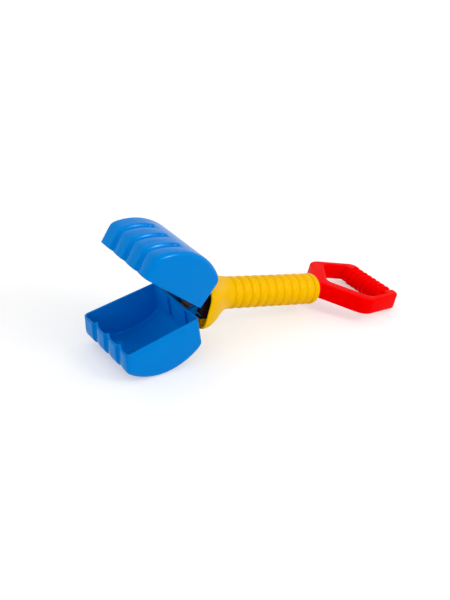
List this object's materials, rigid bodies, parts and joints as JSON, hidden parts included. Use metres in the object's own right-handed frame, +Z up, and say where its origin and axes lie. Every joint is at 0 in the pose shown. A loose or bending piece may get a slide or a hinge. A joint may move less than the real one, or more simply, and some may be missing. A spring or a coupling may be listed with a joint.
{
  "type": "toy sand grabber",
  "caption": "Toy sand grabber: fluted scoop jaws hinged in the flared head of a ribbed grip tube, closed together by pulling a loop handle at the rear.",
  "frame": {"origin": "on the ground under the centre of the box that the toy fills as it lies with its jaws open", "axes": "+X from the jaws to the loop handle, +Y across to the left of the jaws' front, +Z up; the tube's axis dips towards the handle"},
  "size_m": [0.429, 0.1206, 0.1582],
  "materials": {
    "blue_scoop": "moulded, satin gloss",
    "yellow_shell": "moulded, satin",
    "red_handle": "moulded, satin",
    "dark_block": "moulded, dark",
    "white_bush": "moulded, natural",
    "steel": "bright zinc"
  },
  "bodies": {
    "body": {"grip_body": "yellow_shell", "hinge_block_left": "dark_block", "hinge_block_right": "dark_block", "block_screw_left": "steel", "block_screw_right": "steel", "upper_hinge_pin": "steel", "lower_hinge_pin": "steel", "front_bush": "white_bush", "rear_bush": "white_bush"},
    "upper_jaw": {"upper_jaw": "blue_scoop"},
    "lower_jaw": {"lower_jaw": "blue_scoop"},
    "plunger": {"push_rod": "red_handle", "drive_pin": "steel", "join_pin": "steel", "pull_handle": "red_handle"}
  },
  "joints": [
    {"name": "plunger_slide", "type": "slide", "parent": "body", "child": "plunger", "axis": [0.9844, 0, -0.1761], "range_m": [0, 0.018]},
    {"name": "upper_jaw_hinge", "type": "hinge", "parent": "body", "child": "upper_jaw", "pos_m": [-0.10152, 0, 0.07759], "axis": [0, -1, 0], "range_deg": [0, 24.8]},
    {"name": "lower_jaw_hinge", "type": "hinge", "parent": "body", "child": "lower_jaw", "pos_m": [-0.10505, 0, 0.0579], "axis": [0, 1, 0], "range_deg": [0, 24.8]}
  ],
  "couplings": [
    {"joint": "upper_jaw_hinge", "follows": "plunger_slide", "rad_per_m": 24.047},
    {"joint": "lower_jaw_hinge", "follows": "plunger_slide", "rad_per_m": 24.047}
  ]
}
